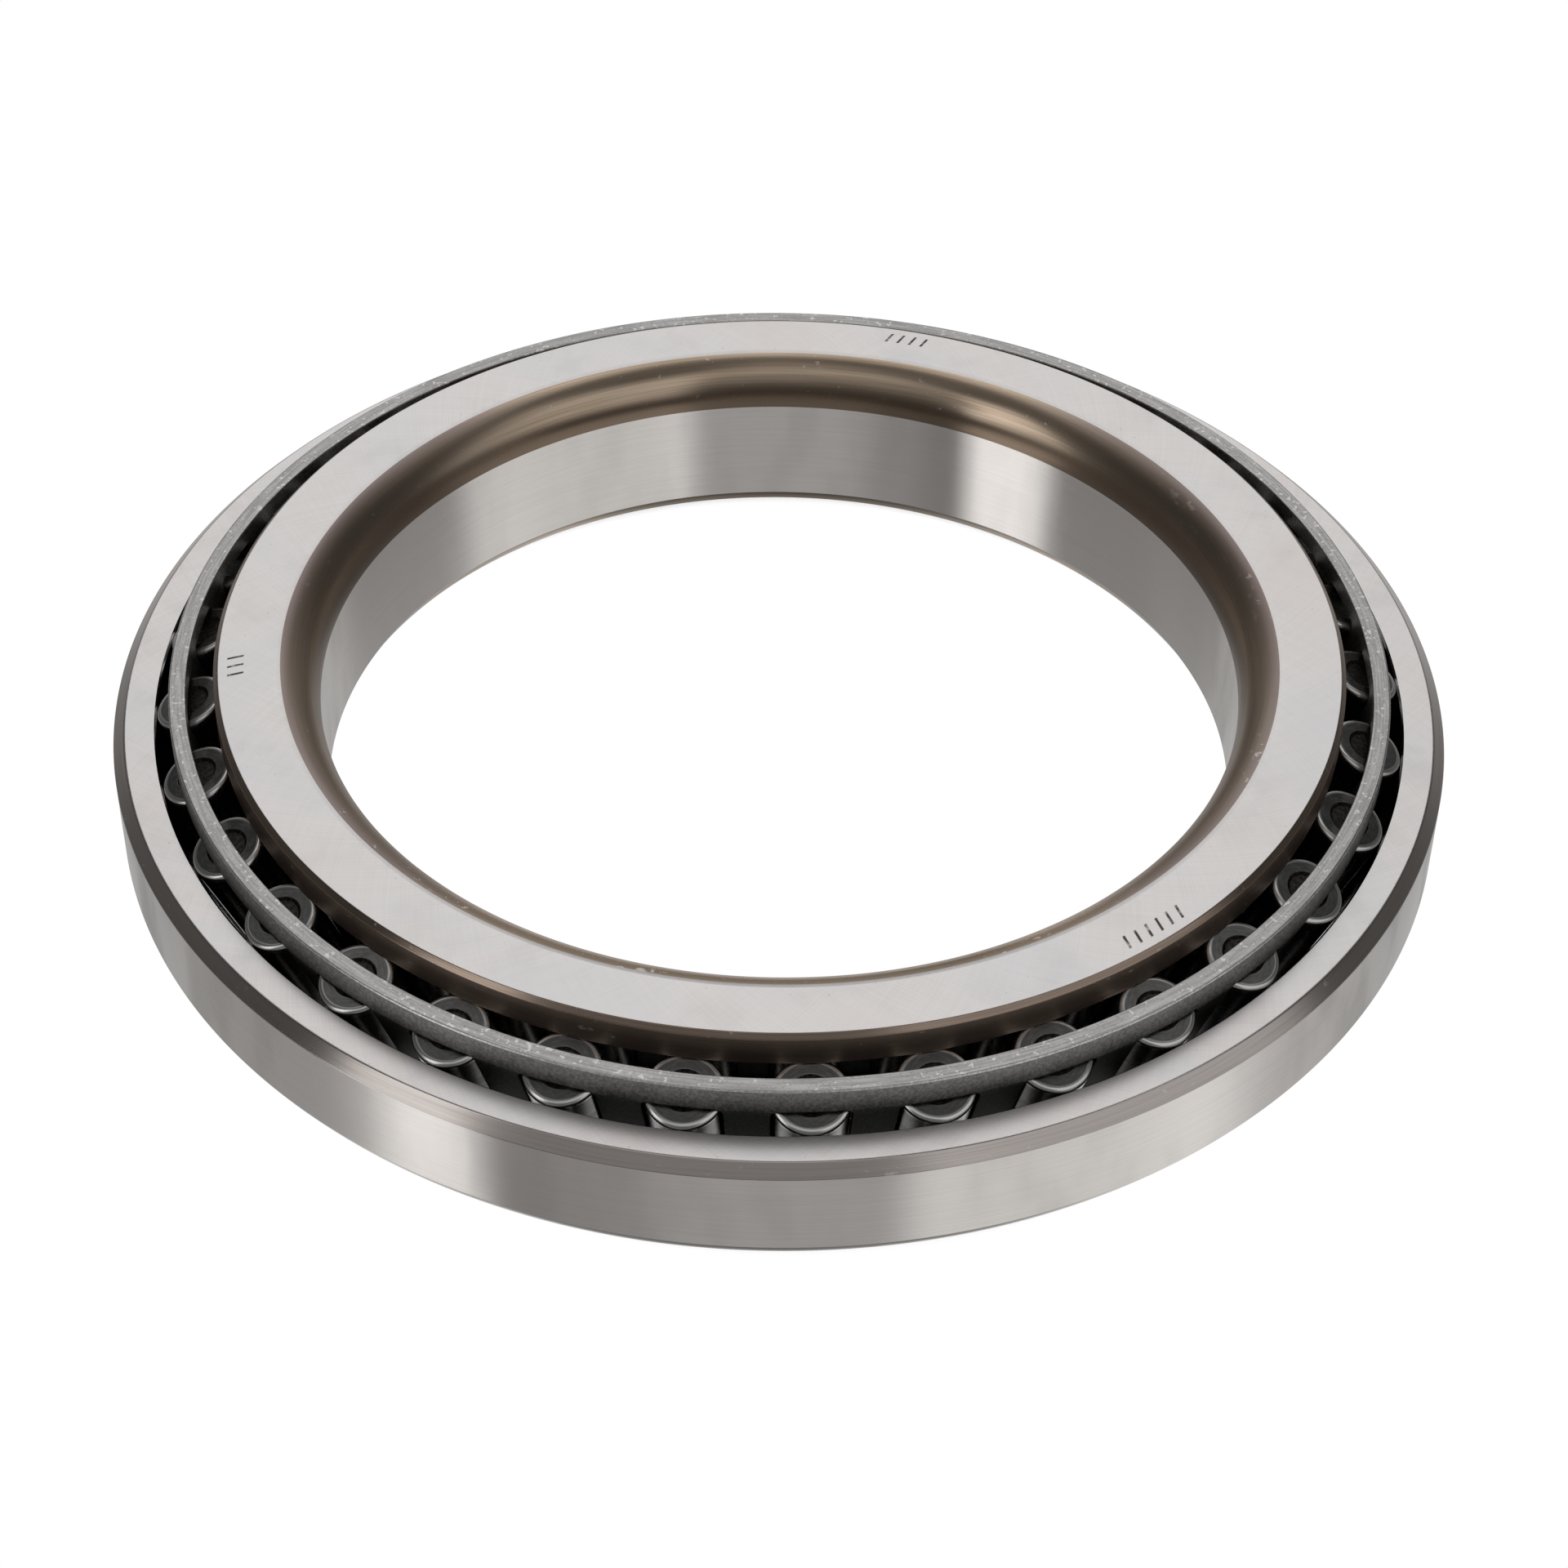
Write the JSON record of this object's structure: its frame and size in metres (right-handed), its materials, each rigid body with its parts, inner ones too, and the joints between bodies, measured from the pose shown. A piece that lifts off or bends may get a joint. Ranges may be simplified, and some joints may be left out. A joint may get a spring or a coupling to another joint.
{
  "type": "tapered roller bearing",
  "caption": "Single-row tapered roller bearing with separable outer ring, inner ring, pressed steel cage and tapered rollers, for radial and axial load.",
  "frame": {"origin": "centre of the outer ring's back face, on the bearing axis; the bearing lies on this face", "axes": "+Z along the bearing axis, from the outer ring's back face to the inner ring's back face; +X through the middle of roller_01"},
  "size_m": [0.1588, 0.1588, 0.023],
  "materials": {
    "ring_steel": "ground bearing steel, satin; heat-tinted brown on the turned corners",
    "cage_steel": "tumbled pressed sheet steel, dull",
    "roller_steel": "finely ground, near mirror"
  },
  "bodies": {
    "outer_ring": {"outer_ring": "ring_steel"},
    "inner_ring": {"inner_ring": "ring_steel"},
    "cage": {"cage": "cage_steel"},
    "roller_01": {"roller_01": "roller_steel"},
    "roller_02": {"roller_02": "roller_steel"},
    "roller_03": {"roller_03": "roller_steel"},
    "roller_04": {"roller_04": "roller_steel"},
    "roller_05": {"roller_05": "roller_steel"},
    "roller_06": {"roller_06": "roller_steel"},
    "roller_07": {"roller_07": "roller_steel"},
    "roller_08": {"roller_08": "roller_steel"},
    "roller_09": {"roller_09": "roller_steel"},
    "roller_10": {"roller_10": "roller_steel"},
    "roller_11": {"roller_11": "roller_steel"},
    "roller_12": {"roller_12": "roller_steel"},
    "roller_13": {"roller_13": "roller_steel"},
    "roller_14": {"roller_14": "roller_steel"},
    "roller_15": {"roller_15": "roller_steel"},
    "roller_16": {"roller_16": "roller_steel"},
    "roller_17": {"roller_17": "roller_steel"},
    "roller_18": {"roller_18": "roller_steel"},
    "roller_19": {"roller_19": "roller_steel"},
    "roller_20": {"roller_20": "roller_steel"},
    "roller_21": {"roller_21": "roller_steel"},
    "roller_22": {"roller_22": "roller_steel"},
    "roller_23": {"roller_23": "roller_steel"},
    "roller_24": {"roller_24": "roller_steel"},
    "roller_25": {"roller_25": "roller_steel"},
    "roller_26": {"roller_26": "roller_steel"},
    "roller_27": {"roller_27": "roller_steel"},
    "roller_28": {"roller_28": "roller_steel"},
    "roller_29": {"roller_29": "roller_steel"},
    "roller_30": {"roller_30": "roller_steel"},
    "roller_31": {"roller_31": "roller_steel"},
    "roller_32": {"roller_32": "roller_steel"},
    "roller_33": {"roller_33": "roller_steel"}
  },
  "joints": [
    {"name": "inner_ring_spin", "type": "hinge", "parent": "outer_ring", "child": "inner_ring", "pos_m": [0, 0, 0.01151], "axis": [0, 0, 1], "continuous": true},
    {"name": "cage_orbit", "type": "hinge", "parent": "outer_ring", "child": "cage", "pos_m": [0, 0, 0.00794], "axis": [0, 0, 1], "continuous": true},
    {"name": "roller_01_spin", "type": "hinge", "parent": "cage", "child": "roller_01", "pos_m": [0.06762, 0, 0.01074], "axis": [0.3553, 0, 0.9348], "continuous": true},
    {"name": "roller_02_spin", "type": "hinge", "parent": "cage", "child": "roller_02", "pos_m": [0.0664, 0.0128, 0.01074], "axis": [0.3489, 0.0672, 0.9348], "continuous": true},
    {"name": "roller_03_spin", "type": "hinge", "parent": "cage", "child": "roller_03", "pos_m": [0.06277, 0.02513, 0.01074], "axis": [0.3298, 0.132, 0.9348], "continuous": true},
    {"name": "roller_04_spin", "type": "hinge", "parent": "cage", "child": "roller_04", "pos_m": [0.05688, 0.03656, 0.01074], "axis": [0.2989, 0.1921, 0.9348], "continuous": true},
    {"name": "roller_05_spin", "type": "hinge", "parent": "cage", "child": "roller_05", "pos_m": [0.04894, 0.04666, 0.01074], "axis": [0.2571, 0.2452, 0.9348], "continuous": true},
    {"name": "roller_06_spin", "type": "hinge", "parent": "cage", "child": "roller_06", "pos_m": [0.03922, 0.05508, 0.01074], "axis": [0.2061, 0.2894, 0.9348], "continuous": true},
    {"name": "roller_07_spin", "type": "hinge", "parent": "cage", "child": "roller_07", "pos_m": [0.02809, 0.06151, 0.01074], "axis": [0.1476, 0.3232, 0.9348], "continuous": true},
    {"name": "roller_08_spin", "type": "hinge", "parent": "cage", "child": "roller_08", "pos_m": [0.01594, 0.06571, 0.01074], "axis": [0.0838, 0.3453, 0.9348], "continuous": true},
    {"name": "roller_09_spin", "type": "hinge", "parent": "cage", "child": "roller_09", "pos_m": [0.00322, 0.06754, 0.01074], "axis": [0.0169, 0.3549, 0.9348], "continuous": true},
    {"name": "roller_10_spin", "type": "hinge", "parent": "cage", "child": "roller_10", "pos_m": [-0.00962, 0.06693, 0.01074], "axis": [-0.0506, 0.3517, 0.9348], "continuous": true},
    {"name": "roller_11_spin", "type": "hinge", "parent": "cage", "child": "roller_11", "pos_m": [-0.02212, 0.0639, 0.01074], "axis": [-0.1162, 0.3357, 0.9348], "continuous": true},
    {"name": "roller_12_spin", "type": "hinge", "parent": "cage", "child": "roller_12", "pos_m": [-0.03381, 0.05856, 0.01074], "axis": [-0.1776, 0.3077, 0.9348], "continuous": true},
    {"name": "roller_13_spin", "type": "hinge", "parent": "cage", "child": "roller_13", "pos_m": [-0.04428, 0.0511, 0.01074], "axis": [-0.2327, 0.2685, 0.9348], "continuous": true},
    {"name": "roller_14_spin", "type": "hinge", "parent": "cage", "child": "roller_14", "pos_m": [-0.05315, 0.0418, 0.01074], "axis": [-0.2793, 0.2196, 0.9348], "continuous": true},
    {"name": "roller_15_spin", "type": "hinge", "parent": "cage", "child": "roller_15", "pos_m": [-0.0601, 0.03098, 0.01074], "axis": [-0.3158, 0.1628, 0.9348], "continuous": true},
    {"name": "roller_16_spin", "type": "hinge", "parent": "cage", "child": "roller_16", "pos_m": [-0.06488, 0.01905, 0.01074], "axis": [-0.3409, 0.1001, 0.9348], "continuous": true},
    {"name": "roller_17_spin", "type": "hinge", "parent": "cage", "child": "roller_17", "pos_m": [-0.06731, 0.00643, 0.01074], "axis": [-0.3537, 0.0338, 0.9348], "continuous": true},
    {"name": "roller_18_spin", "type": "hinge", "parent": "cage", "child": "roller_18", "pos_m": [-0.06731, -0.00643, 0.01074], "axis": [-0.3537, -0.0338, 0.9348], "continuous": true},
    {"name": "roller_19_spin", "type": "hinge", "parent": "cage", "child": "roller_19", "pos_m": [-0.06488, -0.01905, 0.01074], "axis": [-0.3409, -0.1001, 0.9348], "continuous": true},
    {"name": "roller_20_spin", "type": "hinge", "parent": "cage", "child": "roller_20", "pos_m": [-0.0601, -0.03098, 0.01074], "axis": [-0.3158, -0.1628, 0.9348], "continuous": true},
    {"name": "roller_21_spin", "type": "hinge", "parent": "cage", "child": "roller_21", "pos_m": [-0.05315, -0.0418, 0.01074], "axis": [-0.2793, -0.2196, 0.9348], "continuous": true},
    {"name": "roller_22_spin", "type": "hinge", "parent": "cage", "child": "roller_22", "pos_m": [-0.04428, -0.0511, 0.01074], "axis": [-0.2327, -0.2685, 0.9348], "continuous": true},
    {"name": "roller_23_spin", "type": "hinge", "parent": "cage", "child": "roller_23", "pos_m": [-0.03381, -0.05856, 0.01074], "axis": [-0.1776, -0.3077, 0.9348], "continuous": true},
    {"name": "roller_24_spin", "type": "hinge", "parent": "cage", "child": "roller_24", "pos_m": [-0.02212, -0.0639, 0.01074], "axis": [-0.1162, -0.3357, 0.9348], "continuous": true},
    {"name": "roller_25_spin", "type": "hinge", "parent": "cage", "child": "roller_25", "pos_m": [-0.00962, -0.06693, 0.01074], "axis": [-0.0506, -0.3517, 0.9348], "continuous": true},
    {"name": "roller_26_spin", "type": "hinge", "parent": "cage", "child": "roller_26", "pos_m": [0.00322, -0.06754, 0.01074], "axis": [0.0169, -0.3549, 0.9348], "continuous": true},
    {"name": "roller_27_spin", "type": "hinge", "parent": "cage", "child": "roller_27", "pos_m": [0.01594, -0.06571, 0.01074], "axis": [0.0838, -0.3453, 0.9348], "continuous": true},
    {"name": "roller_28_spin", "type": "hinge", "parent": "cage", "child": "roller_28", "pos_m": [0.02809, -0.06151, 0.01074], "axis": [0.1476, -0.3232, 0.9348], "continuous": true},
    {"name": "roller_29_spin", "type": "hinge", "parent": "cage", "child": "roller_29", "pos_m": [0.03922, -0.05508, 0.01074], "axis": [0.2061, -0.2894, 0.9348], "continuous": true},
    {"name": "roller_30_spin", "type": "hinge", "parent": "cage", "child": "roller_30", "pos_m": [0.04894, -0.04666, 0.01074], "axis": [0.2571, -0.2452, 0.9348], "continuous": true},
    {"name": "roller_31_spin", "type": "hinge", "parent": "cage", "child": "roller_31", "pos_m": [0.05688, -0.03656, 0.01074], "axis": [0.2989, -0.1921, 0.9348], "continuous": true},
    {"name": "roller_32_spin", "type": "hinge", "parent": "cage", "child": "roller_32", "pos_m": [0.06277, -0.02513, 0.01074], "axis": [0.3298, -0.132, 0.9348], "continuous": true},
    {"name": "roller_33_spin", "type": "hinge", "parent": "cage", "child": "roller_33", "pos_m": [0.0664, -0.0128, 0.01074], "axis": [0.3489, -0.0672, 0.9348], "continuous": true}
  ],
  "couplings": [
    {"joint": "cage_orbit", "follows": "inner_ring_spin", "ratio": 0.47038},
    {"joint": "roller_01_spin", "follows": "inner_ring_spin", "ratio": -7.8613},
    {"joint": "roller_02_spin", "follows": "inner_ring_spin", "ratio": -7.8613},
    {"joint": "roller_03_spin", "follows": "inner_ring_spin", "ratio": -7.8613},
    {"joint": "roller_04_spin", "follows": "inner_ring_spin", "ratio": -7.8613},
    {"joint": "roller_05_spin", "follows": "inner_ring_spin", "ratio": -7.8613},
    {"joint": "roller_06_spin", "follows": "inner_ring_spin", "ratio": -7.8613},
    {"joint": "roller_07_spin", "follows": "inner_ring_spin", "ratio": -7.8613},
    {"joint": "roller_08_spin", "follows": "inner_ring_spin", "ratio": -7.8613},
    {"joint": "roller_09_spin", "follows": "inner_ring_spin", "ratio": -7.8613},
    {"joint": "roller_10_spin", "follows": "inner_ring_spin", "ratio": -7.8613},
    {"joint": "roller_11_spin", "follows": "inner_ring_spin", "ratio": -7.8613},
    {"joint": "roller_12_spin", "follows": "inner_ring_spin", "ratio": -7.8613},
    {"joint": "roller_13_spin", "follows": "inner_ring_spin", "ratio": -7.8613},
    {"joint": "roller_14_spin", "follows": "inner_ring_spin", "ratio": -7.8613},
    {"joint": "roller_15_spin", "follows": "inner_ring_spin", "ratio": -7.8613},
    {"joint": "roller_16_spin", "follows": "inner_ring_spin", "ratio": -7.8613},
    {"joint": "roller_17_spin", "follows": "inner_ring_spin", "ratio": -7.8613},
    {"joint": "roller_18_spin", "follows": "inner_ring_spin", "ratio": -7.8613},
    {"joint": "roller_19_spin", "follows": "inner_ring_spin", "ratio": -7.8613},
    {"joint": "roller_20_spin", "follows": "inner_ring_spin", "ratio": -7.8613},
    {"joint": "roller_21_spin", "follows": "inner_ring_spin", "ratio": -7.8613},
    {"joint": "roller_22_spin", "follows": "inner_ring_spin", "ratio": -7.8613},
    {"joint": "roller_23_spin", "follows": "inner_ring_spin", "ratio": -7.8613},
    {"joint": "roller_24_spin", "follows": "inner_ring_spin", "ratio": -7.8613},
    {"joint": "roller_25_spin", "follows": "inner_ring_spin", "ratio": -7.8613},
    {"joint": "roller_26_spin", "follows": "inner_ring_spin", "ratio": -7.8613},
    {"joint": "roller_27_spin", "follows": "inner_ring_spin", "ratio": -7.8613},
    {"joint": "roller_28_spin", "follows": "inner_ring_spin", "ratio": -7.8613},
    {"joint": "roller_29_spin", "follows": "inner_ring_spin", "ratio": -7.8613},
    {"joint": "roller_30_spin", "follows": "inner_ring_spin", "ratio": -7.8613},
    {"joint": "roller_31_spin", "follows": "inner_ring_spin", "ratio": -7.8613},
    {"joint": "roller_32_spin", "follows": "inner_ring_spin", "ratio": -7.8613},
    {"joint": "roller_33_spin", "follows": "inner_ring_spin", "ratio": -7.8613}
  ]
}
